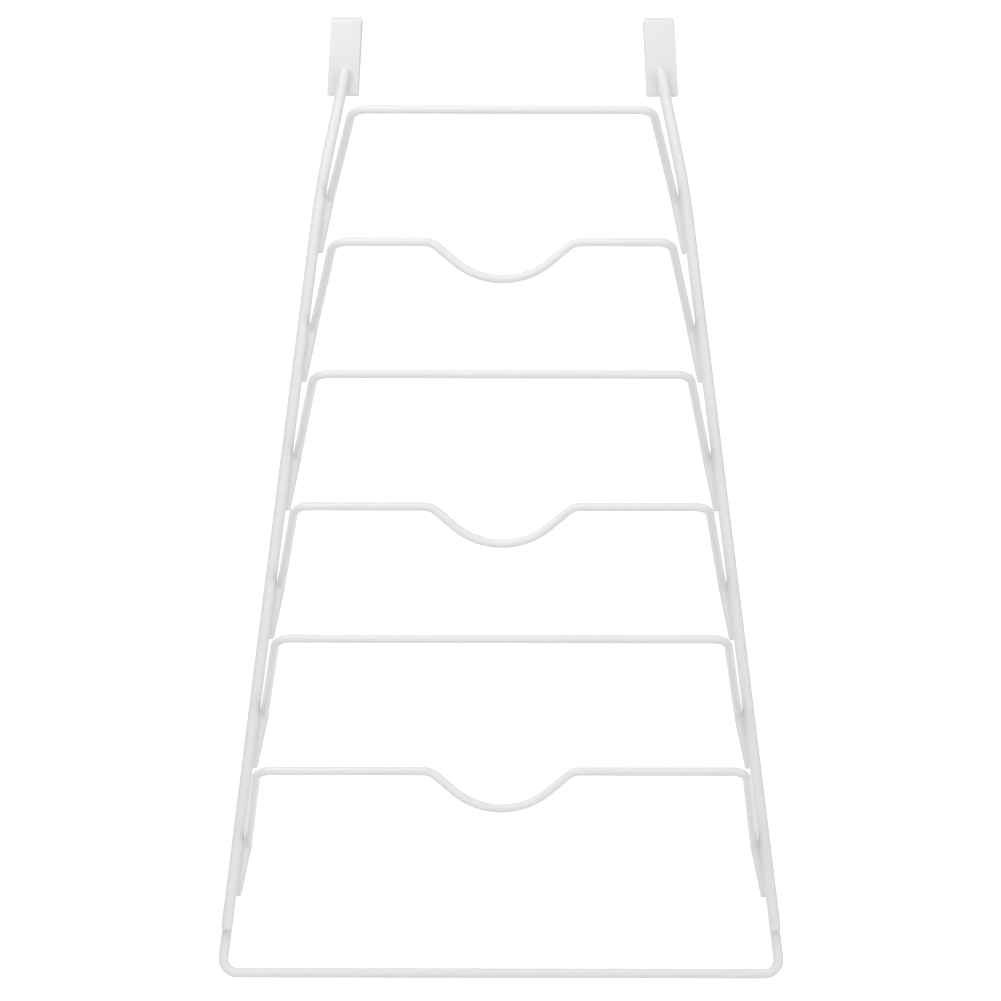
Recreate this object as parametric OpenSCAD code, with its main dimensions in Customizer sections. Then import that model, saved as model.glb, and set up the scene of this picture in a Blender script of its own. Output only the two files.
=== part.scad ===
// Over-door rack for pot lids, in millimetres.
// Two splayed rails carry six bent cross wires, a bar closes their lower ends,
// and a flat hook at the top of each rail goes over the edge of a door.
// X runs across the door, Y into the room is negative, and Z is up.
// The origin is on the door's top front edge, midway between the hooks.

/* [Rails] */
// Diameter of the rail wire
rail_d = 6; // [4.5:0.5:8]
// Distance between the rails' centre lines, carried up to the door's top edge
rail_spread = 160.4; // [150:0.2:190]
// Angle of each rail outwards from the vertical
rail_splay = 7.125; // [4:0.125:9]
// Drop from the door's top edge to the rails' top ends
rail_start = 24; // [14:0.5:28]
// Height of the stubs, the rails' ends that stand on the hooks
stub_len = 16; // [14:0.5:22]
// Angle of each stub outwards from the vertical
stub_lean = 9.9; // [7:0.1:12]
// Height of the long step from a stub to the straight rail
step_h = 44; // [34:0.5:46]
// Sideways size of that step, at its upper corner
step_in = 3.6; // [1:0.1:6]
// Bend radius of the step's upper corner, on the wire's centre line
step_bend = 60; // [20:5:120]
// Bend radius of its lower corner, where the wire eases into the straight rail
ease_bend = 300; // [60:10:340]
// Length of rail below the ends of the lowest cross wire
rail_foot = 17; // [12:0.1:40]

/* [Cross wires] */
// Diameter of the cross wires
wire_d = 4.5; // [3.5:0.1:5]
// Drop from the door's top edge to the welds of the first cross wire
first_weld = 107.8; // [100:0.1:130]
// Height from one cross wire to the next
wire_pitch = 64.4; // [54:0.2:80]
// Height of each cross above its own welds
cross_rise = 56.9; // [46:0.1:70]
// Reach of the crosses in front of the rails' centre lines
reach = 63; // [45:0.5:90]
// Width of the top cross, corner to corner
top_cross_w = 146.2; // [125:0.2:149]
// How much wider each cross is than the one above it
cross_step = 18.4; // [14:0.2:19]
// Bend radius of the cross wires' front corners, on the centre line
corner_bend = 8; // [5:0.5:14]
// Length of wire from the weld down to the leg's cut end
tab_below = 9.5; // [7:0.5:14]
// Length of wire from the weld up to the leg's bend
tab_above = 18; // [12:0.5:22]
// Bend radius where the tab turns into the leg, on the centre line
tab_bend = 6; // [4:0.5:10]
// Where the tab sits round the rail, from straight behind it towards the middle
seat_angle = 45; // [30:1:60]
// Gap between the rail and the leg where it passes to the front
leg_play = 0.05; // [0.02:0.01:0.5]

/* [Handle dips] */
// Depth of the dip that a lid's handle sits in
dip_depth = 18.1; // [13:0.1:26]
// Slope of the dip's sides
dip_slope = 40; // [32:1:48]
// Bend radius of the dip's broad bottom, on the centre line
dip_bend = 36; // [20:1:50]
// Bend radius of the dip's shoulders, on the centre line
shoulder_bend = 10; // [6:0.5:16]

/* [Bottom bar] */
// Diameter of the bar's wire
bar_d = 5.4; // [4:0.1:6]
// Drop from the rails' lower ends to the bar's centre line
bar_drop = 21.7; // [14:0.1:60]
// Bend radius of the bar's corners, on the centre line
bar_bend = 7; // [4.5:0.5:12]
// Gap between the bar's leg ends and the lowest tabs above them
leg_gap = 2; // [1:0.5:4]

/* [Hooks] */
// Width of the flat strip
strip_w = 15.4; // [12:0.2:24]
// Thickness of the flat strip
strip_t = 1.5; // [1:0.1:2.5]
// Length of the front plate below the door's top edge
plate_len = 38; // [34:0.2:60]
// Thickness of door that the hook goes over, with its play
door_gap = 19; // [14:0.5:45]
// Length of the back leg below the door's top edge
back_len = 37; // [15:0.5:60]
// Inner bend radius of the strip
strip_bend = 1.5; // [0.8:0.1:4]
// Lean of the strip's sides, outwards at the bottom
strip_lean = 3; // [0:0.1:6]

/* [Ends and welds] */
// How much thinner a wire gets on its radius where it is bent
bend_thinning = 0.02; // [0.01:0.01:0.06]
// Rounding of the cross wires' and the bar's cut ends
wire_end = 1.2; // [0.4:0.1:1.5]
// Rounding of the rails' top ends
rail_end = 2.6; // [0.5:0.1:2.8]
// Rounding of the rails' lower ends
foot_end = 1.6; // [0.4:0.1:2.8]
// Thickness of a weld bead at its middle
bead_d = 2.6; // [1.8:0.1:3.2]
// Length of the bead that fixes a cross wire or the bar
bead_len = 7; // [5:0.5:9]
// Length of the bead that fixes a rail to its hook
hook_bead_len = 12; // [8:0.5:14]
// Distance of the beads from the middle of a joint between two wires
bead_off = 1.5; // [1.2:0.1:2]

/* [Hidden] */
$fn = 64;
coat = [0.93, 0.93, 0.94];
rail_r = rail_d / 2;
wire_r = wire_d / 2;
bar_r = bar_d / 2;
bead_r = bead_d / 2;
// How far a cutting block runs past what it cuts
past = 1;
// The bottom bar's legs lie between the rails and the door, so the bar sets how far the rails stand off
bar_y = -bar_r;
rail_y = -(bar_d + rail_r);
stub_y = -(strip_t + rail_r);
cross_y = rail_y - reach;
slope = tan(rail_splay);
rail_len = cos(rail_splay);
// Heights of the places along a rail
stub_top = -rail_start;
step_top = stub_top - stub_len;
step_foot = step_top - step_h;
// Half distance between the rails' centre lines at height z, below the step and above it
function rail_x(z) = rail_spread / 2 - z * slope;
function stub_x(z) = rail_x(step_top) - step_in - (z - step_top) * tan(stub_lean);
function weld_z(i) = -first_weld - i * wire_pitch;
function cross_z(i) = weld_z(i) + cross_rise;
function cross_x(i) = (top_cross_w + i * cross_step) / 2;
last_wire = 5;
low_tab = weld_z(last_wire) - tab_below * rail_len;
rail_foot_z = low_tab - rail_foot;
bar_z = rail_foot_z - bar_drop;
// Half width of a dip, from its depth, slope and bottom bend
dip_half = (dip_depth + dip_bend * (1 / cos(dip_slope) - 1)) / tan(dip_slope);
dip_point = dip_half * tan(dip_slope);

// Bending a wire: from the points of its centre line to straights, bends and the turn between bends
function unit(v) = v / norm(v);
function run_dir(p, i) = unit(p[i + 1] - p[i]);
function run_len(p, i) = norm(p[i + 1] - p[i]);
function is_bend(p, i) = i > 0 && i < len(p) - 1;
function bend_angle(p, i) = acos(run_dir(p, i - 1) * run_dir(p, i));
function bend_axis(p, i) = unit(cross(run_dir(p, i - 1), run_dir(p, i)));
function set_back(p, bends, i) = is_bend(p, i) ? bends[i] * tan(bend_angle(p, i) / 2) : 0;
function feed_len(p, bends, i) = run_len(p, i) - set_back(p, bends, i) - set_back(p, bends, i + 1);
function signed_turn(a, b, d) = atan2(cross(a, b) * d, a * b);
function bend_turn(p, i) =
    is_bend(p, i + 1) ? signed_turn(bend_axis(p, i), bend_axis(p, i + 1), run_dir(p, i)) : 0;

// Cut end of a wire with a rounded edge, standing on its last full section
module wire_cap(r, edge) {
    rotate_extrude()
        union() {
            square([r - edge, edge]);
            intersection() {
                translate([r - edge, 0]) circle(edge);
                translate([r - edge, 0]) square(edge);
            }
        }
}

// Moves what follows to the end of a bend that starts at the origin along +Z and turns towards +X
module after_bend(bend, angle) {
    translate([bend, 0, 0])
        rotate([0, angle, 0])
            translate([-bend, 0, 0])
                children();
}

// The bend itself: a ring of wire, kept between its start plane and its end plane
module wire_bend(r, bend, angle) {
    clear = r + past;
    span = 2 * (bend + clear);
    intersection() {
        translate([bend, 0, 0])
            rotate([90, 0, 0])
                rotate_extrude()
                    translate([bend, 0])
                        circle(r - bend_thinning);
        translate([-clear, -clear, 0])
            cube([span, 2 * clear, span]);
        after_bend(bend, angle)
            translate([-clear, -clear, -span])
                cube([span, 2 * clear, span]);
    }
}

// The wire from its run i onwards, each run and bend starting where the one before it ends
module wire_on(p, bends, r, ends, i) {
    last = i == len(p) - 2;
    feed = feed_len(p, bends, i) - (i == 0 ? ends[0] : 0) - (last ? ends[1] : 0);
    cylinder(h = feed, r = r);
    translate([0, 0, feed])
        if (last) {
            wire_cap(r, ends[1]);
        } else {
            bend = bends[i + 1];
            angle = bend_angle(p, i + 1);
            wire_bend(r, bend, angle);
            after_bend(bend, angle)
                rotate([0, 0, bend_turn(p, i + 1)])
                    wire_on(p, bends, r, ends, i + 1);
        }
}

// Turns +Z to direction d, with +Y then along side
module aim(d, side) {
    polar = acos(d.z);
    around = atan2(d.y, d.x);
    ex = [cos(polar) * cos(around), cos(polar) * sin(around), -sin(polar)];
    ey = [-sin(around), cos(around), 0];
    rotate([0, polar, around])
        rotate([0, 0, atan2(-(side * ex), side * ey)])
            children();
}

// A whole bent wire through the points p, with the rounding of its first and last end
module bent_wire(p, bends, r, ends) {
    translate(p[0])
        aim(run_dir(p, 0), bend_axis(p, 1))
            translate([0, 0, ends[0]]) {
                mirror([0, 0, 1]) wire_cap(r, ends[0]);
                wire_on(p, bends, r, ends, 0);
            }
}

// A weld bead, thickest at its middle, along direction d
module bead(at, d, length) {
    tip = 0.4 * bead_r;
    translate(at)
        aim(d, unit(cross([0, 1, 0], d)))
            rotate_extrude()
                polygon([
                    [0, -length / 2],
                    [tip, -length / 2],
                    [bead_r, 0],
                    [tip, length / 2],
                    [0, length / 2]
                ]);
}

// Right-hand geometry, mirrored for the left
function rail_dir() = unit([slope, 0, -1]);
function stub_dir() = unit([tan(stub_lean), 0, -1]);
function rail_at(z) = [rail_x(z), rail_y, z];
// Direction from the rail's centre line to a tab, and the direction across it
function seat_out() = unit(
    -sin(seat_angle) * unit(cross([0, 1, 0], -rail_dir())) + cos(seat_angle) * [0, 1, 0]
);
function seat_across() = unit(cross(seat_out(), rail_dir()));
// A tab crosses the rail's line by just enough to bring its upper end beside the rail
tab_skew = asin(((rail_r + wire_r) * (1 - sin(seat_angle)) + leg_play) / (tab_above * cos(seat_angle)));
function tab_dir() = cos(tab_skew) * rail_dir() - sin(tab_skew) * seat_across();
function tab_mid(i) = rail_at(weld_z(i)) + (rail_r + wire_r) * seat_out();
function flip(p) = [-p.x, p.y, p.z];

// Half of a cross wire's centre line, from the cut end to the front corner, right side
function side_run(i) = [
    tab_mid(i) + tab_below * tab_dir(),
    tab_mid(i) - tab_above * tab_dir(),
    [cross_x(i), cross_y, cross_z(i)]
];
side_bends = [0, tab_bend, corner_bend];
function reversed(list) = [for (k = [len(list) - 1 : -1 : 0]) list[k]];
function dip_run(i) = [
    [dip_half, cross_y, cross_z(i)],
    [0, cross_y, cross_z(i) - dip_point],
    [-dip_half, cross_y, cross_z(i)]
];
dip_bends = [shoulder_bend, dip_bend, shoulder_bend];

module rail_rod(spare) {
    top = rail_at(step_foot + spare);
    foot = rail_at(rail_foot_z - spare);
    translate(top)
        aim(unit(foot - top), [0, 1, 0])
            cylinder(h = norm(foot - top), r = rail_r);
}

// The two beads of one tab or leg, in the crevices beside its line of contact
module joint_beads(contact, across, along) {
    difference() {
        union() {
            bead(contact + bead_off * across, along, bead_len);
            bead(contact - bead_off * across, along, bead_len);
        }
        rail_rod(bead_len);
    }
}

module tab_beads(i) {
    joint_beads(rail_at(weld_z(i)) + rail_r * seat_out(), seat_across(), rail_dir());
}

module cross_wire(i, dipped) {
    run = side_run(i);
    middle = dipped ? dip_run(i) : [];
    bends = dipped ? dip_bends : [];
    other = reversed([for (p = run) flip(p)]);
    color(coat)
        union() {
            bent_wire(concat(run, middle, other), concat(side_bends, bends, reversed(side_bends)),
                wire_r, [wire_end, wire_end]);
            tab_beads(i);
            mirror([1, 0, 0]) tab_beads(i);
        }
}

module rail() {
    run = [
        [stub_x(stub_top), stub_y, stub_top],
        [stub_x(step_top), stub_y, step_top],
        rail_at(step_foot),
        rail_at(rail_foot_z)
    ];
    color(coat)
        union() {
            bent_wire(run, [0, step_bend, ease_bend, 0], rail_r, [rail_end, foot_end]);
            hook_beads();
        }
}

// Two beads beside the rail's stub, cut flat where they lie on the hook's front plate
module hook_beads() {
    mid_z = (stub_top - plate_len) / 2;
    middle = [stub_x(mid_z), -strip_t - bead_r / 2, mid_z];
    spread = rail_r * 0.8;
    difference() {
        union() {
            for (side = [-1, 1])
                bead(middle + [side * spread, 0, 0], stub_dir(), hook_bead_len);
        }
        translate([0, -strip_t, mid_z - plate_len])
            cube([2 * rail_spread, 2 * plate_len, 2 * plate_len]);
    }
}

// The strip's side profile, Y across the page and Z up it
module strip_profile() {
    outer = strip_bend + strip_t;
    depth = door_gap + 2 * strip_t;
    translate([-strip_t, 0])
        difference() {
            union() {
                translate([0, -plate_len]) square([depth / 2, plate_len + strip_t - outer]);
                translate([depth / 2, -back_len]) square([depth / 2, back_len + strip_t - outer]);
                translate([outer, 0]) square([depth - 2 * outer, strip_t]);
                for (y = [outer, depth - outer])
                    translate([y, strip_t - outer]) circle(outer);
            }
            translate([strip_t, -plate_len - past]) square([door_gap, plate_len + past - strip_bend]);
            translate([outer, -2 * strip_bend]) square([depth - 2 * outer, 2 * strip_bend]);
            for (y = [outer, depth - outer])
                translate([y, -strip_bend]) circle(strip_bend);
        }
}

// Hook strip, its sides leaning out with the rail that it carries
module hook() {
    mid_z = (stub_top - plate_len) / 2;
    lean = tan(strip_lean);
    top = strip_t + past;
    foot = -max(plate_len, back_len) - past;
    function side_x(z) = stub_x(mid_z) - (z - mid_z) * lean;
    color(coat)
        intersection() {
            translate([stub_x(0) - 2 * strip_w, 0, 0])
                rotate([90, 0, 90])
                    linear_extrude(4 * strip_w)
                        strip_profile();
            translate([0, door_gap + 2 * strip_t, 0])
                rotate([90, 0, 0])
                    linear_extrude(door_gap + 4 * strip_t)
                        polygon([
                            [side_x(foot) - strip_w / 2, foot],
                            [side_x(foot) + strip_w / 2, foot],
                            [side_x(top) + strip_w / 2, top],
                            [side_x(top) - strip_w / 2, top]
                        ]);
        }
}

module bottom_bar() {
    leg_top = low_tab - leg_gap;
    lap_z = (leg_top + rail_foot_z) / 2;
    run = [
        [rail_x(leg_top), bar_y, leg_top],
        [rail_x(bar_z), bar_y, bar_z]
    ];
    other = reversed([for (p = run) flip(p)]);
    color(coat)
        union() {
            bent_wire(concat(run, other), [0, bar_bend, bar_bend, 0], bar_r, [wire_end, wire_end]);
            leg_beads(lap_z);
            mirror([1, 0, 0]) leg_beads(lap_z);
        }
}

module leg_beads(z) {
    joint_beads(rail_at(z) + [0, rail_r, 0], [rail_len, 0, sin(rail_splay)], rail_dir());
}

mirror([1, 0, 0]) rail();  // left_rail
rail();  // right_rail
mirror([1, 0, 0]) hook();  // left_hook
hook();  // right_hook
cross_wire(0, false);  // plain_wire_top
cross_wire(1, true);  // dipped_wire_top
cross_wire(2, false);  // plain_wire_middle
cross_wire(3, true);  // dipped_wire_middle
cross_wire(4, false);  // plain_wire_low
cross_wire(5, true);  // dipped_wire_low
bottom_bar();
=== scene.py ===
# %% [markdown]
# A pot lid rack for the top edge of a door
#
# The real object is a white coated wire rack. Two side rails, six bent cross wires and a bottom bar
# are welded together, and two flat steel hooks go over the top edge of a door. A model could be
# started from nothing, but then every size would have to be found again. So the exact solids of
# all eleven pieces come in first, as a frame that is never moved. Everything made here is in metres
# and in that same frame, and each new piece goes where its solid is.

import math

import bmesh
import bpy
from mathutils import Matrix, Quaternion, Vector


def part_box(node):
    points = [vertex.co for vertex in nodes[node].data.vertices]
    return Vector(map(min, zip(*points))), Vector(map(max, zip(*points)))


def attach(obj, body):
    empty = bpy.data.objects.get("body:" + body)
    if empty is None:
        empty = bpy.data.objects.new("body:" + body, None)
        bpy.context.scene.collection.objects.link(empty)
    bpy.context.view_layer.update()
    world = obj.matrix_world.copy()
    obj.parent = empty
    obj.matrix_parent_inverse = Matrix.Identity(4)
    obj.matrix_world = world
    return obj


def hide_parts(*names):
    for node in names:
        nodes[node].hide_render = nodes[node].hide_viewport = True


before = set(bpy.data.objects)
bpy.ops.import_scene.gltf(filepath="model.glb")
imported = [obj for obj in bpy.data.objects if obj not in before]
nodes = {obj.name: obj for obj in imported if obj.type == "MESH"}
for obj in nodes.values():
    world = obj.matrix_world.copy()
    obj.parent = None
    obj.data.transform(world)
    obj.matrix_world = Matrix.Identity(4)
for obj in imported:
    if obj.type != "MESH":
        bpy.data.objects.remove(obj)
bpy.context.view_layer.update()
print("nodes:", ", ".join(sorted(nodes)))

# %% [markdown]
# The camera
#
# The photograph looks straight at the rack from far away: the two rails lean apart by the same
# angle, and nothing shows of the hooks' top sides. An orthographic camera would come close, but it
# would draw the wires in front at the scale of the rails behind them. A long lens on a level camera
# is the better match, from the distance at which both fit their measured widths. The rack's middle
# line leans a tenth of a degree in the picture, so the camera is rolled by that much.

# %% Place the camera
MM = 0.001
# In this plane, just behind the rails' centre lines, a pixel is half a millimetre.
MEASURED_PLANE = -7.5 * MM
PICTURE_WIDTH = 0.5005
CAMERA_DISTANCE = 2.4
CAMERA_X, CAMERA_Z = -0.67 * MM, -241.2 * MM
SENSOR = 36.0
FARTHEST_SEEN = 30.0
LEVEL_AHEAD = math.radians(90.0)
ROLL = math.radians(-0.115)

camera_data = bpy.data.cameras.new("photo_camera")
camera_data.sensor_width = SENSOR
camera_data.lens = SENSOR * CAMERA_DISTANCE / PICTURE_WIDTH
camera_data.clip_end = FARTHEST_SEEN
camera = bpy.data.objects.new("photo_camera", camera_data)
camera.location = (CAMERA_X, MEASURED_PLANE - CAMERA_DISTANCE, CAMERA_Z)
camera.rotation_euler = (LEVEL_AHEAD, ROLL, 0.0)
bpy.context.scene.collection.objects.link(camera)
bpy.context.scene.camera = camera
print("lens in mm:", round(camera_data.lens, 1))

# %% [markdown]
# The coating
#
# The steel is dipped in white plastic powder and baked, which leaves a skin that is never quite
# even. A picture of such a skin could be wrapped round the wires, but it would show a seam and
# stretch at the bends. Noise that fills space has no seam, so it is used here. It is taken in the
# object's own coordinates and stays put from any side. A little of it in the tint and in the
# roughness breaks up the highlights.

# %% Vary the tint and the roughness
TINT_SCALE, TINT_DETAIL = 60.0, 3.0
NOISE_LOW, NOISE_HIGH = 0.3, 0.7
DARKER_SHARE = 0.985
ROUGH_SPREAD = 0.04


def noise_at(tree, place, scale, detail):
    """A noise in the object's own coordinates."""
    noise = tree.nodes.new("ShaderNodeTexNoise")
    noise.inputs["Scale"].default_value = scale
    noise.inputs["Detail"].default_value = detail
    tree.links.new(place.outputs["Object"], noise.inputs["Vector"])
    return noise


def vary_tint(tree, tint, colour, shader):
    """Colour that the noise takes a little darker here and there."""
    ramp = tree.nodes.new("ShaderNodeValToRGB")
    dark, full = ramp.color_ramp.elements
    dark.position, full.position = NOISE_LOW, NOISE_HIGH
    dark.color = tuple(DARKER_SHARE * c for c in colour) + (1.0,)
    full.color = colour + (1.0,)
    tree.links.new(tint.outputs["Fac"], ramp.inputs["Fac"])
    tree.links.new(ramp.outputs["Color"], shader.inputs["Base Color"])


def vary_roughness(tree, tint, roughness, shader):
    rough = tree.nodes.new("ShaderNodeMapRange")
    rough.inputs["From Min"].default_value = NOISE_LOW
    rough.inputs["From Max"].default_value = NOISE_HIGH
    rough.inputs["To Min"].default_value = roughness - ROUGH_SPREAD
    rough.inputs["To Max"].default_value = roughness + ROUGH_SPREAD
    tree.links.new(tint.outputs["Fac"], rough.inputs["Value"])
    tree.links.new(rough.outputs["Result"], shader.inputs["Roughness"])


print("the tint goes down to", DARKER_SHARE, "of its colour")

# %% [markdown]
# The waves of the coating
#
# Close up, melted powder shows slow waves and a fine grain. Real relief in the mesh could show them,
# but they are far smaller than a face. So they are a bump from two noises, one broad and one fine,
# which only tilts the light. A thin clear layer on top gives the skin its gloss.

# %% Mix the coating
BUMP_DETAIL = 2.0
WAVE_SCALE, WAVE_HEIGHT = 250.0, 0.0006
GRAIN_SCALE, GRAIN_HEIGHT = 900.0, 0.0001
GLOSS, TOP_COAT, TOP_COAT_ROUGHNESS = 0.5, 0.15, 0.12


def add_bumps(tree, place, layers, shader):
    """Bumps laid over one another, each from a noise of its own scale."""
    last = None
    for scale, strength, height in layers:
        noise = noise_at(tree, place, scale, BUMP_DETAIL)
        bump = tree.nodes.new("ShaderNodeBump")
        bump.inputs["Strength"].default_value = strength
        bump.inputs["Distance"].default_value = height
        tree.links.new(noise.outputs["Fac"], bump.inputs["Height"])
        if last is not None:
            tree.links.new(last.outputs["Normal"], bump.inputs["Normal"])
        last = bump
    tree.links.new(last.outputs["Normal"], shader.inputs["Normal"])


def coating(name, colour, roughness, wave, grain):
    material = bpy.data.materials.new(name)
    material.use_nodes = True
    tree = material.node_tree
    shader = tree.nodes["Principled BSDF"]
    place = tree.nodes.new("ShaderNodeTexCoord")
    tint = noise_at(tree, place, TINT_SCALE, TINT_DETAIL)
    vary_tint(tree, tint, colour, shader)
    vary_roughness(tree, tint, roughness, shader)
    layers = ((WAVE_SCALE, wave, WAVE_HEIGHT), (GRAIN_SCALE, grain, GRAIN_HEIGHT))
    add_bumps(tree, place, layers, shader)
    shader.inputs["Specular IOR Level"].default_value = GLOSS
    shader.inputs["Coat Weight"].default_value = TOP_COAT
    shader.inputs["Coat Roughness"].default_value = TOP_COAT_ROUGHNESS
    print(name, "has", len(tree.nodes), "nodes")
    return material


print("bumps at scales", WAVE_SCALE, "and", GRAIN_SCALE)

# %% [markdown]
# Two whites
#
# Wires and hooks get the same powder. One material could serve both, but a flat plate sends more of
# the broad light straight to the camera than a thin wire does. So the recipe is used twice: the
# strip's tone is made a little darker, as painted shade that makes up for that light, and its
# roughness is set apart, so that both read as one white. The solids get it too, although each of
# them is hidden behind its skin later.

# %% Coat the solids
WIRE_TONE = (0.80, 0.80, 0.815)
# The strip's tone is a little darker than the wires' as painted shade, making up for the extra broad
# light that the flat plate sends to the camera.
STRIP_TONE_WITH_PAINTED_SHADE = (0.775, 0.775, 0.78)

white_wire = coating("white_wire_coating", WIRE_TONE, roughness=0.33, wave=0.025, grain=0.02)
white_strip = coating("white_strip_coating", STRIP_TONE_WITH_PAINTED_SHADE, roughness=0.36, wave=0.03, grain=0.03)
for name, node in nodes.items():
    coat = white_strip if name.endswith("hook") else white_wire
    if not node.material_slots:
        node.data.materials.append(coat)
    for place in node.material_slots:
        place.material = coat
print("coated", len(nodes), "nodes")

# %% [markdown]
# The sizes of the wires
#
# The solids are exact, but their welds are plain pointed beads and the strips' edges are knife
# sharp. A baked coating rounds all of that off. The solids' meshes could be bevelled or smoothed,
# but that would also pull at the bends and the thin ends. So each piece is made again here as a
# swept skin, from the same corner points, bend radii and diameters as the solid, in millimetres.
# The skin is a hair thinner than the solid, so it never leaves it.

# %% Write down the sizes
HAIR = 0.02
RAIL_HALF, WIRE_HALF, BAR_HALF = 3.0, 2.25, 2.7
RAIL_R, WIRE_R, BAR_R = RAIL_HALF - HAIR, WIRE_HALF - HAIR, BAR_HALF - HAIR
RAIL_SPLAY, STUB_SPLAY = 7.125, 9.9
SLOPE = math.tan(math.radians(RAIL_SPLAY))
STUB_SLOPE = math.tan(math.radians(STUB_SPLAY))
RAIL_X = 80.2
STUB_TOP, STEP_TOP, STEP_FOOT = -24.0, -40.0, -84.0
STEP_IN = 3.6
REACH = 63.0
RAIL_Y, STUB_Y, BAR_Y = -8.4, -4.5, -2.7
CROSS_Y = RAIL_Y - REACH
TOP_WELD, PITCH, LAST_WIRE = -107.8, 64.4, 5
TAB_BELOW, TAB_ABOVE = 9.5, 18.0
FOOT_DROP, BAR_DROP = 17.0, 21.7
LOW_TAB = TOP_WELD - LAST_WIRE * PITCH - TAB_BELOW * math.cos(math.atan(SLOPE))
RAIL_FOOT = LOW_TAB - FOOT_DROP
BAR_Z = RAIL_FOOT - BAR_DROP


def rail_x(z):
    return RAIL_X - z * SLOPE


def stub_x(z):
    return rail_x(STEP_TOP) - STEP_IN - (z - STEP_TOP) * STUB_SLOPE


print("rail foot at", round(RAIL_FOOT, 2), "bar at", round(BAR_Z, 2))

# %% [markdown]
# Bending a wire
#
# A wire bender feeds straight wire and turns it round a pin. A curve object with a bevel depth makes
# a wire in a moment, but its handles don't give a bend of a known radius. So the centre line is
# worked out as the bender makes it: straight from corner to corner, with an arc of the pin's radius
# laid into each corner. Each station of the line has a place and a direction.

# %% Bend a centre line
ARC_STEP = 6.0
FEWEST_STEPS = 6


def bent_line(corners, pins):
    line = [(corners[0], (corners[1] - corners[0]).normalized())]
    for k in range(1, len(corners) - 1):
        before = (corners[k] - corners[k - 1]).normalized()
        after = (corners[k + 1] - corners[k]).normalized()
        angle = before.angle(after)
        axis = before.cross(after).normalized()
        start = corners[k] - pins[k] * math.tan(angle / 2) * before
        centre = start + pins[k] * axis.cross(before)
        steps = max(FEWEST_STEPS, math.ceil(math.degrees(angle) / ARC_STEP))
        for s in range(steps + 1):
            turn = Quaternion(axis, angle * s / steps)
            line.append((centre + turn @ (start - centre), turn @ before))
    line.append((corners[-1], (corners[-1] - corners[-2]).normalized()))
    return line


square = [Vector((0, 0, 0)), Vector((20, 0, 0)), Vector((20, 20, 0))]
print("a wire with one square bend has", len(bent_line(square, [0, 6.0, 0])), "stations")

# %% [markdown]
# A cut end
#
# Wire is cut with a shear, which leaves a sharp rim, and the coating rounds that off. A bevel
# modifier would round it too, but it would also work on every other sharp edge. So an end is made
# of a few close rings, which grow from the flat of the cut to the full wire on a quarter circle.

# %% Round a cut end
END_RINGS = 5


def cut_end(place, way, radius, rounding):
    """Rings of a rounded end at place, from its flat face to the full wire, which lies along way."""
    out = []
    for k in range(END_RINGS, -1, -1):
        angle = math.radians(90.0 * k / END_RINGS)
        along = rounding * (1 - math.sin(angle))
        out.append((place + along * way, radius - rounding + rounding * math.cos(angle)))
    return out


print("a cut end has", END_RINGS + 1, "rings")

# %% [markdown]
# Skinning a wire
#
# The coated wire is round and equally thick all along. A cylinder could be bent with a modifier, but
# its thickness would change in the bends. So a circle is carried along the centre line, which keeps
# its thickness everywhere, and the rings are joined by faces.

# %% Skin a centre line
AROUND = 28


def ring_points(stations):
    """Circles round the stations, each turned to follow on from the last without a twist."""
    side = stations[0][1].orthogonal().normalized()
    points = []
    for place, way, r in stations:
        side = (side - side.dot(way) * way).normalized()
        other = way.cross(side)
        for k in range(AROUND):
            angle = 2 * math.pi * k / AROUND
            points.append(place + r * (math.cos(angle) * side + math.sin(angle) * other))
    return points


def tube_faces(rings, count):
    """Faces between rings of equal count, closed at both ends."""
    faces = []
    for s in range(rings - 1):
        a, b = s * count, (s + 1) * count
        for k in range(count):
            n = (k + 1) % count
            faces.append((a + k, a + n, b + n, b + k))
    faces.append(tuple(range(count))[::-1])
    faces.append(tuple((rings - 1) * count + k for k in range(count)))
    return faces


def wire_skin(line, radius, rounds):
    """Points and faces of a wire along line, in millimetres."""
    first, last = line[0], line[-1]
    head = [(p, first[1], r) for p, r in cut_end(first[0], first[1], radius, rounds[0])]
    tail = [(p, last[1], r) for p, r in cut_end(last[0], -last[1], radius, rounds[1])]
    stations = head + [(p, way, radius) for p, way in line[1:-1]] + tail[::-1]
    return ring_points(stations), tube_faces(len(stations), AROUND)


dent = WIRE_R * (1 - math.cos(math.pi / AROUND))
print("a ring stays within", round(dent, 3), "mm of its circle")

# %% [markdown]
# Welds under the coating
#
# Where two wires are spot welded side by side, the coating runs into the crevice between them and
# bakes there as a hollow fillet. A remesh of the joined wires could blur them together, but it would
# soften the cut ends too and need a very fine grid. In section the fillet is only a small arc that
# touches both circles, so that arc is worked out and strips of such sections are laid along each
# side of every joint. They belong to the cross wires and the bar, as the solids' beads do.

# %% Work out a fillet's section
ARC_POINTS = 8
NARROWEST = 0.01


def between(u, v, t):
    """The direction a share t of the way from u to v."""
    angle = u.angle(v)
    return (math.sin((1 - t) * angle) * u + math.sin(t * angle) * v) / math.sin(angle)


def fillet_section(centre, ways, throat, inner):
    """Arc of the fillet round its own centre between two directions, and a point in the joint."""
    shares = [k / ARC_POINTS for k in range(ARC_POINTS + 1)]
    return [centre + throat * between(ways[0], ways[1], share) for share in shares] + [inner]


def wire_section(rail_point, rail_r, wire_point, wire_r, throat, side, way):
    """Fillet between a rail and a wire beside it, or nothing where the gap is too wide for it."""
    apart = wire_point - rail_point
    gap = apart.length
    out = apart / gap
    across = side * way.cross(out)
    near, far = rail_r + throat, wire_r + throat
    along = (gap * gap + near * near - far * far) / (2 * gap)
    up = near * near - along * along
    if up <= NARROWEST:
        return None
    centre = rail_point + along * out + math.sqrt(up) * across
    ways = ((rail_point - centre).normalized(), (wire_point - centre).normalized())
    return fillet_section(centre, ways, throat, rail_point + rail_r * out)


print("a fillet's section has", ARC_POINTS + 2, "points")

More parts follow.
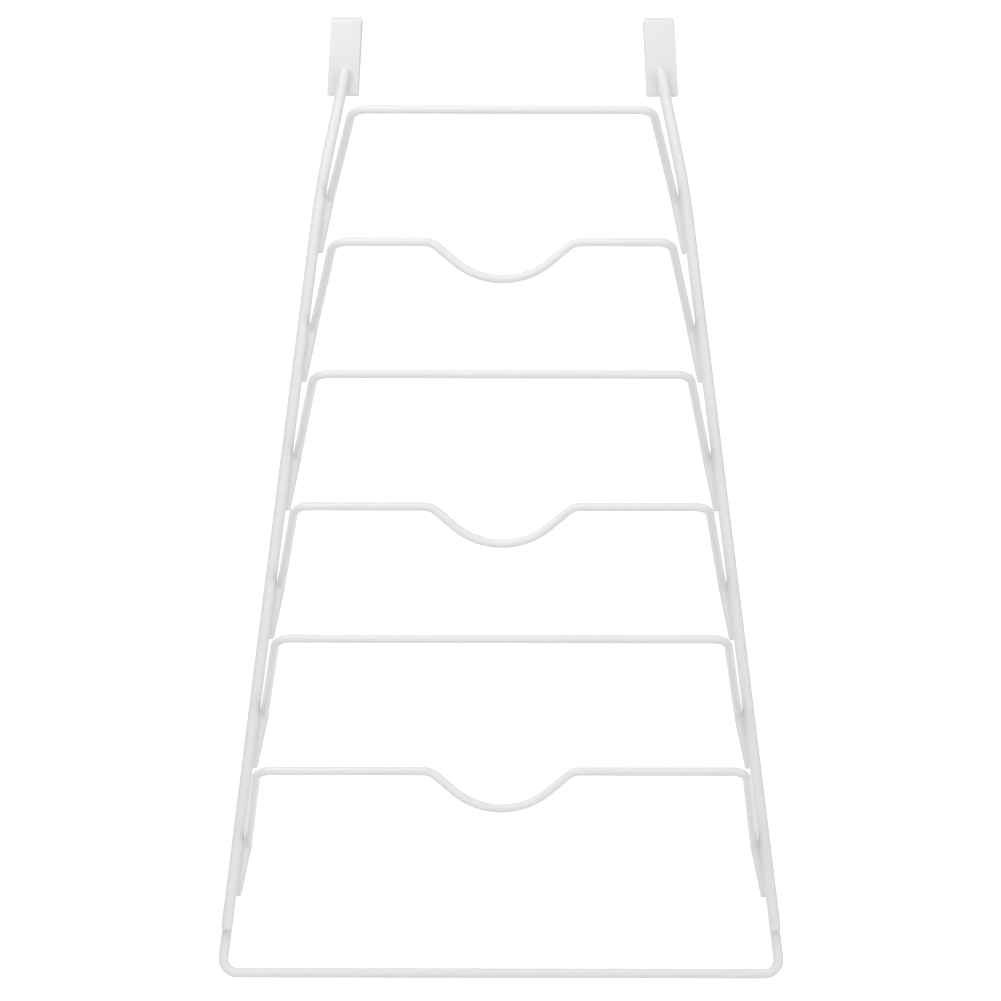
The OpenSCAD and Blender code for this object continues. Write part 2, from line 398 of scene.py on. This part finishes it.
# %% [markdown]
# The run of a fillet
#
# Along a joint the coating is thickest over the weld, where the gap is closest, and runs out thinly
# at both ends. One size all along would be simpler, but it would end in a blunt step. So the size
# falls off softly from the weld, and quickly over the last few millimetres.

# %% Lay coating along a joint
THIN_THROAT, WELD_EXTRA = 0.7, 0.3
WELD_SPREAD = 4.0
RUN_OUT = 2.5
LEAST_SHARE = 0.12


def strip_skin(sections):
    """Points and faces of a strip through equal sections, closed at both ends."""
    points = [p for section in sections for p in section]
    return points, tube_faces(len(sections), len(sections[0]))


def throat_at(s, low, high):
    """Size of the fillet at distance s from the weld, on a strip from low to high."""
    ends = min(1.0, (s - low) / RUN_OUT, (high - s) / RUN_OUT)
    size = THIN_THROAT + WELD_EXTRA * math.exp(-((s / WELD_SPREAD) ** 2))
    return size * max(LEAST_SHARE, ends) ** 0.5


sizes = [round(throat_at(s, -TAB_ABOVE, TAB_BELOW), 2) for s in (0, TAB_BELOW)]
print("size of a fillet at the weld and at its end:", sizes)

# %% [markdown]
# One mesh for each piece
#
# Before coating the rack is eleven separate pieces, and they are kept apart here. All could be one
# mesh, but then none could be reused alone. So only the skins of one real piece are joined.
# Faces that meet at a slight angle are shaded as one smooth surface, and the ends of the fillets
# stay crisp.

# %% Join the skins of a piece
SMOOTH_UNDER = math.radians(42.0)


def flipped(skin):
    """The same skin on the other side of the rack."""
    points, faces = skin
    return [Vector((-p.x, p.y, p.z)) for p in points], [face[::-1] for face in faces]


def joined_mesh(name, skins):
    """One mesh in metres of all the skins, with every face turned outwards."""
    points, faces = [], []
    for skin_points, skin_faces in skins:
        base = len(points)
        points += [p * MM for p in skin_points]
        faces += [tuple(base + k for k in face) for face in skin_faces]
    mesh = bpy.data.meshes.new(name)
    mesh.from_pydata(points, [], faces)
    shell = bmesh.new()
    shell.from_mesh(mesh)
    bmesh.ops.recalc_face_normals(shell, faces=shell.faces)
    shell.to_mesh(mesh)
    shell.free()
    mesh.shade_smooth()
    mesh.set_sharp_from_angle(angle=SMOOTH_UNDER)
    return mesh


print("edges under", round(math.degrees(SMOOTH_UNDER)), "degrees are shaded smooth")

# %% [markdown]
# In the place of its solid
#
# A finished piece has to be where its solid is and no larger, so that the rack still fits its door.
# It could be placed by hand, but then it would not move with the frame. So it rides on the frame,
# takes the place of its solid in the picture and gets its solid's coating, and its box is measured
# against the solid's.

# %% Make a piece
def past_solid(mesh, node):
    """How far the mesh goes past its solid's box, in millimetres."""
    low = [min(v.co[k] for v in mesh.vertices) for k in range(3)]
    high = [max(v.co[k] for v in mesh.vertices) for k in range(3)]
    solid_low, solid_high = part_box(node)
    return max(max(solid_low[k] - low[k], high[k] - solid_high[k]) for k in range(3)) / MM


def make_piece(name, node, skins, coat):
    mesh = joined_mesh(name, skins)
    mesh.materials.append(coat)
    piece = bpy.data.objects.new(name, mesh)
    bpy.context.scene.collection.objects.link(piece)
    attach(piece, "root")
    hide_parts(node)
    over = round(past_solid(mesh, node), 3)
    print(name, len(mesh.polygons), "faces, past the solid's box by", over, "mm")


print("pieces to make:", len(nodes))

# %% [markdown]
# The rails
#
# Each rail is one wire. Its stub stands on the hook's front plate, then a long soft step brings it
# out and forward to the straight part that carries everything. It could be modelled in three parts,
# but a bender makes it in one, and so one bent line gives the soft step by itself.

# %% Bend the rail
STEP_TOP_PIN, STEP_FOOT_PIN = 60.0, 300.0
STUB_ROUND, FOOT_ROUND = 2.6, 1.6


def rail_line():
    corners = [
        Vector((stub_x(STUB_TOP), STUB_Y, STUB_TOP)),
        Vector((stub_x(STEP_TOP), STUB_Y, STEP_TOP)),
        Vector((rail_x(STEP_FOOT), RAIL_Y, STEP_FOOT)),
        Vector((rail_x(RAIL_FOOT), RAIL_Y, RAIL_FOOT)),
    ]
    return bent_line(corners, [0, STEP_TOP_PIN, STEP_FOOT_PIN, 0])


rail_skin = wire_skin(rail_line(), RAIL_R, (STUB_ROUND, FOOT_ROUND))
print("the rail's skin has", len(rail_skin[0]), "points")

# %% [markdown]
# The skirt of a stub
#
# The stub is welded flat on the plate, and the coating gathers round its foot as a skirt. It could
# be left to a bump in the material, but its shadow line is what shows that the two are joined. So it
# is a strip of its own, between the round wire and the flat plate. It runs up one side, round the
# rounded end and down the other side, and gets thinner downwards.

# %% Lay the skirt and make the rails
SKIRT_LOW, SKIRT_TOP = 0.3, 1.2
SKIRT_LENGTH = 10.5
SKIRT_STEPS = 12
SKIRT_OUT = Vector((0, -1, 0))


def skirt_section(foot, beside, round_r, throat):
    reach = 2 * math.sqrt(round_r * throat)
    centre = foot + reach * beside + throat * SKIRT_OUT
    axis = foot + round_r * SKIRT_OUT
    ways = ((axis - centre).normalized(), -SKIRT_OUT)
    return fillet_section(centre, ways, throat, foot)


def skirt_side(tip, down, beside, k):
    """Section k steps down from the stub's rounded end."""
    share = k / SKIRT_STEPS
    throat = SKIRT_LOW + (SKIRT_TOP - SKIRT_LOW) * (1 - share) ** 0.5
    return skirt_section(tip + SKIRT_LENGTH * share * down, beside, RAIL_R, throat)


def skirt_sections():
    down = Vector((STUB_SLOPE, 0, -1)).normalized()
    aside = Vector((1, 0, STUB_SLOPE)).normalized()
    plate = STUB_Y + RAIL_HALF
    tip = Vector((stub_x(STUB_TOP), plate, STUB_TOP)) + STUB_ROUND * down
    up = [skirt_side(tip, down, -aside, k) for k in range(SKIRT_STEPS, -1, -1)]
    around = []
    for k in range(1, SKIRT_STEPS):
        angle = math.pi * k / SKIRT_STEPS
        beside = -math.cos(angle) * aside - math.sin(angle) * down
        round_r = RAIL_R - (RAIL_R - STUB_ROUND) * math.sin(angle)
        around.append(skirt_section(tip, beside, round_r, SKIRT_TOP))
    return up + around + [skirt_side(tip, down, aside, k) for k in range(SKIRT_STEPS + 1)]


rail_skins = [rail_skin, strip_skin(skirt_sections())]
make_piece("right_rail_coated", "right_rail", rail_skins, white_wire)
left_skins = [flipped(skin) for skin in rail_skins]
make_piece("left_rail_coated", "left_rail", left_skins, white_wire)

# %% [markdown]
# The seat of a tab
#
# Each cross wire starts as a tab behind a rail, on its inner side. A tab that ran along the rail
# would send its leg straight through it. On the real rack the tab crosses the rail's line a little,
# which brings the leg clear on its way to the front. The angle could be tried out by eye, but here
# it follows from the two radii, the seat's angle and the gap that has to be left.

# %% Work out the tab's direction
SEAT = math.radians(45.0)
TOUCH = 5.25
CLEAR = 0.05


def unit(x, y, z):
    return Vector((x, y, z)).normalized()


RAIL_WAY = unit(SLOPE, 0, -1)
RAIL_SIDE = Vector((0, 1, 0)).cross(-RAIL_WAY)
SEAT_OUT = (-math.sin(SEAT) * RAIL_SIDE + Vector((0, math.cos(SEAT), 0))).normalized()
SEAT_ACROSS = SEAT_OUT.cross(RAIL_WAY).normalized()
SKEW = math.asin((TOUCH * (1 - math.sin(SEAT)) + CLEAR) / (TAB_ABOVE * math.cos(SEAT)))
TAB_WAY = math.cos(SKEW) * RAIL_WAY - math.sin(SKEW) * SEAT_ACROSS


def weld_place(i):
    z = TOP_WELD - i * PITCH
    return Vector((rail_x(z), RAIL_Y, z))


print("the tab crosses the rail at", round(math.degrees(SKEW), 2), "degrees")

# %% [markdown]
# The cross wires
#
# Three wires have a straight front and three have a dip in the middle. Each goes up from its tab
# behind one rail, forward along the leg, across the front and back to the other rail, and every
# front is wider than the one above it. The six could be drawn one by one, but they differ only in
# their level, their width and the dip. So one line with those three differences makes them all.

# %% Bend the cross wires
LEG_RISE = 56.9
TOP_WIDTH, WIDER_EACH = 146.2, 18.4
LEG_PIN, FRONT_PIN = 6.0, 8.0
DIP_DEPTH, DIP_SLOPE = 18.1, math.radians(40)
DIP_PIN, DIP_EDGE_PIN = 36.0, 10.0
DIP_HALF = (DIP_DEPTH + DIP_PIN * (1 / math.cos(DIP_SLOPE) - 1)) / math.tan(DIP_SLOPE)
DIP_POINT = DIP_HALF * math.tan(DIP_SLOPE)


def mirrored(corners):
    """The same corners on the other side of the rack, in the order in which the wire goes on."""
    return [Vector((-p.x, p.y, p.z)) for p in corners][::-1]


def cross_line(i, dipped):
    tab = weld_place(i) + TOUCH * SEAT_OUT
    height = weld_place(i).z + LEG_RISE
    half = (TOP_WIDTH + i * WIDER_EACH) / 2
    leg_top = Vector((half, CROSS_Y, height))
    side = [tab + TAB_BELOW * TAB_WAY, tab - TAB_ABOVE * TAB_WAY, leg_top]
    pins = [0, LEG_PIN, FRONT_PIN]
    dip, dip_pins = [], []
    if dipped:
        dip = [
            Vector((DIP_HALF, CROSS_Y, height)),
            Vector((0, CROSS_Y, height - DIP_POINT)),
            Vector((-DIP_HALF, CROSS_Y, height)),
        ]
        dip_pins = [DIP_EDGE_PIN, DIP_PIN, DIP_EDGE_PIN]
    return bent_line(side + dip + mirrored(side), pins + dip_pins + pins[::-1])


print("half a dip is", round(DIP_HALF, 2), "mm wide between its corners")

# %% [markdown]
# The fillets of a tab
#
# The coating fills the crevice on both sides of a tab, from just above its lower end to where the
# leg bends away from the rail. Straight strips could stop at the bend, but a dark gap would then
# show in the crevice above it. So each strip walks along the wire's own stations and ends where the
# gap has grown too wide for it.

# %% Lay a tab's fillet
FILLET_TOP = 20.5
FILLET_STEP = 0.7


def tab_fillet(i, side):
    """Fillet from just above the tab's end to where the leg parts from the rail."""
    weld = weld_place(i)
    stations = [place for place, way in cross_line(i, False)]
    sections = []
    run = FILLET_STEP
    for here, there in zip(stations, stations[1:]):
        length = (there - here).length
        while run < length:
            wire_point = here + (there - here) * (run / length)
            along = (wire_point - weld).dot(RAIL_WAY)
            rail_point = weld + along * RAIL_WAY
            throat = throat_at(along, -FILLET_TOP, TAB_BELOW)
            section = wire_section(rail_point, RAIL_R, wire_point, WIRE_R, throat, side, RAIL_WAY)
            if section is None:
                return strip_skin(sections)
            sections.append(section)
            run += FILLET_STEP
        run -= length
    return strip_skin(sections)


print("a tab's fillet has", len(tab_fillet(0, 1)[0]), "points")

# %% [markdown]
# Six wires from one line
#
# On the real rack straight and dipped wires take turns from the top down, and all six are bent from
# wire of one thickness. The lower ones could be scaled copies of the top one, but a scale would
# thicken the wire as well. So a loop makes each of the six from the same line, with its own number
# from the top.

# %% Make the cross wires
WIRE_ROUND = 1.2
CROSS_WIRES = [
    "plain_wire_top",
    "dipped_wire_top",
    "plain_wire_middle",
    "dipped_wire_middle",
    "plain_wire_low",
    "dipped_wire_low",
]
for i, node in enumerate(CROSS_WIRES):
    fillets = [tab_fillet(i, side) for side in (-1, 1)]
    wire = cross_line(i, node.startswith("dipped"))
    skins = [wire_skin(wire, WIRE_R, (WIRE_ROUND, WIRE_ROUND))]
    skins += fillets + [flipped(skin) for skin in fillets]
    make_piece(node + "_coated", node, skins, white_wire)

# %% [markdown]
# The bottom bar
#
# One thicker wire closes the rack at the bottom. Its two legs lap behind the lower ends of the
# rails, so each rail ends in front of it with a cut end that shows. Bar and rails could be drawn as
# one closed loop, but the lap and the cut ends would be lost. So the bar is bent like the other
# wires, and its legs get fillets where they lie against the rails.

# %% Make the bottom bar
BAR_BELOW_TAB = 2.0
BAR_PIN = 7.0
FILLET_SHORT = 3.2
LEG_STEPS = 20


def bar_line():
    top = LOW_TAB - BAR_BELOW_TAB
    side = [Vector((rail_x(top), BAR_Y, top)), Vector((rail_x(BAR_Z), BAR_Y, BAR_Z))]
    return bent_line(side + mirrored(side), [0, BAR_PIN, BAR_PIN, 0])


def leg_fillet(side):
    """Fillet over the lap of the bar's leg and the rail, short of both ends."""
    top, foot = LOW_TAB - FILLET_SHORT, RAIL_FOOT + FILLET_SHORT
    half = (top - foot) / 2
    sections = []
    for k in range(LEG_STEPS + 1):
        z = top + (foot - top) * k / LEG_STEPS
        wire_point = Vector((rail_x(z), BAR_Y, z))
        rail_point = Vector((rail_x(z), RAIL_Y, z))
        throat = throat_at(half - (z - foot), -half, half)
        section = wire_section(rail_point, RAIL_R, wire_point, BAR_R, throat, side, RAIL_WAY)
        sections.append(section)
    return strip_skin(sections)


leg_fillets = [leg_fillet(side) for side in (-1, 1)]
bar_skins = [wire_skin(bar_line(), BAR_R, (WIRE_ROUND, WIRE_ROUND))]
bar_skins += leg_fillets + [flipped(skin) for skin in leg_fillets]
make_piece("bottom_bar_coated", "bottom_bar", bar_skins, white_wire)

# %% [markdown]
# The hooks
#
# Each hook is a flat strip, folded twice over the door's edge, and its sides lean outwards a little
# with the rail. A box with a bevel could stand for it from the front, but it would have no real
# folds from the side. Here a folding line is worked out in the side view first, as a sheet worker
# marks it, with the middle of the strip's thickness going round both folds.

# %% Fold the strip's middle line
STRIP_W, STRIP_T = 15.4, 1.5
PLATE_LEN, BACK_LEN, DOOR_GAP = 38.0, 37.0, 19.0
FOLD_R = 1.5
FOLD_STEPS = 8
LEAN = math.tan(math.radians(3.0))
HOOK_MID = (STUB_TOP - PLATE_LEN) / 2


def side_x(z):
    return stub_x(HOOK_MID) - (z - HOOK_MID) * LEAN


def fold_line():
    """Middle of the strip's thickness, with its direction, in the side view."""
    middle = FOLD_R + STRIP_T / 2
    front, back = -STRIP_T / 2, DOOR_GAP + STRIP_T / 2
    line = [(Vector((0, front, -PLATE_LEN)), Vector((0, 0, 1)))]
    for centre_y, start in ((front + middle, 180), (back - middle, 90)):
        for k in range(FOLD_STEPS + 1):
            angle = math.radians(start - 90 * k / FOLD_STEPS)
            y = centre_y + middle * math.cos(angle)
            z = -FOLD_R + middle * math.sin(angle)
            line.append((Vector((0, y, z)), Vector((0, math.sin(angle), -math.cos(angle)))))
    line.append((Vector((0, back, -BACK_LEN)), Vector((0, 0, -1))))
    return line


folded = fold_line()
flat_length = sum((b[0] - a[0]).length for a, b in zip(folded, folded[1:]))
print("the strip is", round(flat_length, 1), "mm long before it is folded")

# %% [markdown]
# The strip's soft edges
#
# Coating leaves an edge of a third of a millimetre instead of the sheared steel's sharp one, and it
# catches a thin line of light. A bevel modifier could round the edges, but it would catch on the
# folds' small faces. So the strip's section, a rectangle with rounded corners, is carried along
# the folding line.

# %% Round the strip's edges
EDGE = 0.35
CORNER_STEPS = 4
SHARPEST = 0.02
CORNER_SIGNS = ((1, 1), (-1, 1), (-1, -1), (1, -1))


def strip_section(place, way, inset):
    """Rounded rectangle across the strip, drawn in by inset for the rounded ends."""
    normal = Vector((0, way.z, -way.y))
    half_w, half_t = STRIP_W / 2 - HAIR - inset, STRIP_T / 2 - HAIR - inset
    edge = max(SHARPEST, EDGE - inset)
    section = []
    for corner, (side, face) in enumerate(CORNER_SIGNS):
        for k in range(CORNER_STEPS + 1):
            angle = math.radians(90 * corner + 90 * k / CORNER_STEPS)
            across = side * (half_w - edge) + edge * math.cos(angle)
            through = face * (half_t - edge) + edge * math.sin(angle)
            point = place + through * normal
            section.append(Vector((side_x(point.z) + across, point.y, point.z)))
    return section


print("the strip's section has", len(strip_section(*folded[0], 0.0)), "points")

# %% [markdown]
# The hooks' ends
#
# The strip's two cut ends are coated as well, so their edges are as soft as its sides. A flat cap
# would be simpler, but the foot of the front plate shows in the picture with its soft edge. So the
# section draws in over the last third of a millimetre, and the second hook is the first one
# mirrored.

# %% Make the hooks
def rounded_end(place, way, inward):
    """Sections of a strip's end, from the full strip to the drawn-in end face."""
    sections = []
    for k in range(CORNER_STEPS + 1):
        angle = math.radians(90 * k / CORNER_STEPS)
        spot = place + (EDGE + HAIR) * inward - EDGE * math.sin(angle) * inward
        sections.append(strip_section(spot, way, EDGE * (1 - math.cos(angle))))
    return sections


def hook_skin(line):
    (foot, up), (end, down) = line[0], line[-1]
    sections = rounded_end(foot, up, up)[::-1]
    sections += [strip_section(place, way, 0.0) for place, way in line[1:-1]]
    return strip_skin(sections + rounded_end(end, down, -down))


hook = hook_skin(folded)
make_piece("right_hook_coated", "right_hook", [hook], white_strip)
make_piece("left_hook_coated", "left_hook", [flipped(hook)], white_strip)

# %% [markdown]
# White paper
#
# The photograph is a cut-out on pure white. A plain floor could be lit until it turns white, but
# then the rack would burn out too. So the paper sorts the rays by Light Path. For the light on the
# rack it is an ordinary pale surface. To the camera and in reflections it shows that lit surface
# plus a glow that brings it up to white, so the floor can still hold a soft shadow.

# %% Mix the paper
PAPER_TONE, PAPER_ROUGHNESS = (0.82, 0.82, 0.82, 1.0), 0.9
PAPER_GLOW = 0.75


def mix_where_seen(tree, plain, seen, out):
    """Give camera, glossy and transmission rays the second shader, and all others the first."""
    path = tree.nodes.new("ShaderNodeLightPath")
    direct = path.outputs["Is Camera Ray"]
    for kind in ("Is Glossy Ray", "Is Transmission Ray"):
        either = tree.nodes.new("ShaderNodeMath")
        either.operation = "MAXIMUM"
        tree.links.new(direct, either.inputs[0])
        tree.links.new(path.outputs[kind], either.inputs[1])
        direct = either.outputs["Value"]
    mix = tree.nodes.new("ShaderNodeMixShader")
    tree.links.new(direct, mix.inputs["Fac"])
    tree.links.new(plain, mix.inputs[1])
    tree.links.new(seen, mix.inputs[2])
    tree.links.new(mix.outputs["Shader"], out.inputs["Surface"])


def studio_white():
    material = bpy.data.materials.new("studio_white")
    material.use_nodes = True
    tree = material.node_tree
    shader = tree.nodes["Principled BSDF"]
    shader.inputs["Base Color"].default_value = PAPER_TONE
    shader.inputs["Roughness"].default_value = PAPER_ROUGHNESS
    glow = tree.nodes.new("ShaderNodeEmission")
    glow.inputs["Strength"].default_value = PAPER_GLOW
    lit = shader.outputs["BSDF"]
    both = tree.nodes.new("ShaderNodeAddShader")
    tree.links.new(lit, both.inputs[0])
    tree.links.new(glow.outputs["Emission"], both.inputs[1])
    mix_where_seen(tree, lit, both.outputs["Shader"], tree.nodes["Material Output"])
    return material


paper = studio_white()
print("the paper glows at", PAPER_GLOW, "where it is seen")

# %% [markdown]
# The floor and the backdrop
#
# A photographer hangs one roll of paper so that it sweeps from the wall on to the floor. A separate
# wall and floor would meet in a line behind the rack. One sheet with a wide bend has no such line.
# It stands well behind the rack, which leaves room to look at the rack from behind, and the rack
# hangs by its hooks clear of the floor.

# %% Hang the paper
FLOOR_Z = -0.62
WALL_Y, WALL_TOP = 4.0, 5.0
SWEEP, SWEEP_STEPS = 0.8, 16
SHEET_HALF, SHEET_FRONT = 6.0, -6.0


def sweep_sheet():
    points = [(SHEET_FRONT, FLOOR_Z), (WALL_Y - SWEEP, FLOOR_Z)]
    for k in range(1, SWEEP_STEPS + 1):
        angle = math.radians(90.0 * k / SWEEP_STEPS)
        y = WALL_Y - SWEEP + SWEEP * math.sin(angle)
        points.append((y, FLOOR_Z + SWEEP * (1 - math.cos(angle))))
    points.append((WALL_Y, WALL_TOP))
    verts = [(side * SHEET_HALF, y, z) for y, z in points for side in (-1, 1)]
    faces = [(2 * k, 2 * k + 1, 2 * k + 3, 2 * k + 2) for k in range(len(points) - 1)]
    mesh = bpy.data.meshes.new("studio_sweep")
    mesh.from_pydata(verts, [], faces)
    mesh.shade_smooth()
    sheet = bpy.data.objects.new("studio_sweep", mesh)
    bpy.context.scene.collection.objects.link(sheet)
    mesh.materials.append(paper)


sweep_sheet()
print("floor at", FLOOR_Z, "wall at", WALL_Y)

# %% [markdown]
# The lamps
#
# The light in the photograph is broad and even. The hooks are the brightest part, and the rack gets
# a little darker downwards. Small lamps would draw hard streaks along the wires, so all three are
# wide squares. The main one is near the top, in front and slightly to the left, one on the right
# fills the shades, and one lights the back.

# %% Set the lamps
MIDDLE = (0.0, -0.03, -0.24)
LAMPS = {
    "key_lamp": {"place": (-0.4, -0.95, 0.62), "size": 1.2, "power": 8.5},
    "fill_lamp": {"place": (1.7, -1.8, 0.5), "size": 2.2, "power": 13.0},
    "back_lamp": {"place": (-0.7, 1.9, 1.0), "size": 2.0, "power": 24.0},
}


def soft_lamp(name, place, size, power):
    """A square lamp that is turned to the rack's middle."""
    data = bpy.data.lights.new(name, "AREA")
    data.shape = "SQUARE"
    data.size = size
    data.energy = power
    lamp = bpy.data.objects.new(name, data)
    lamp.location = place
    lamp.rotation_euler = (Vector(MIDDLE) - Vector(place)).to_track_quat("-Z", "Y").to_euler()
    bpy.context.scene.collection.objects.link(lamp)


for name, lamp in LAMPS.items():
    soft_lamp(name, **lamp)
print("lamps:", ", ".join(LAMPS))

# %% [markdown]
# The room
#
# Light also reaches the rack from all around, off the walls and ceiling of a white room. More lamps
# could stand in for that, but an even world does it without a single highlight. Where it is seen
# past the paper's edges it is plain white, at a strength of 1, like the paper.

# %% Light the room
WHITE = (1.0, 1.0, 1.0, 1.0)
ROOM_LIGHT, SEEN_WHITE = 0.49, 1.0

world = bpy.data.worlds.new("studio_world")
bpy.context.scene.world = world
world.use_nodes = True
tree = world.node_tree
sky = tree.nodes["Background"]
white_sky = tree.nodes.new("ShaderNodeBackground")
for shader, strength in ((sky, ROOM_LIGHT), (white_sky, SEEN_WHITE)):
    shader.inputs["Color"].default_value = WHITE
    shader.inputs["Strength"].default_value = strength
plain, seen = sky.outputs["Background"], white_sky.outputs["Background"]
mix_where_seen(tree, plain, seen, tree.nodes["World Output"])
bpy.context.scene.view_settings.view_transform = "Standard"
print("room light", ROOM_LIGHT, "and view transform", bpy.context.scene.view_settings.view_transform)
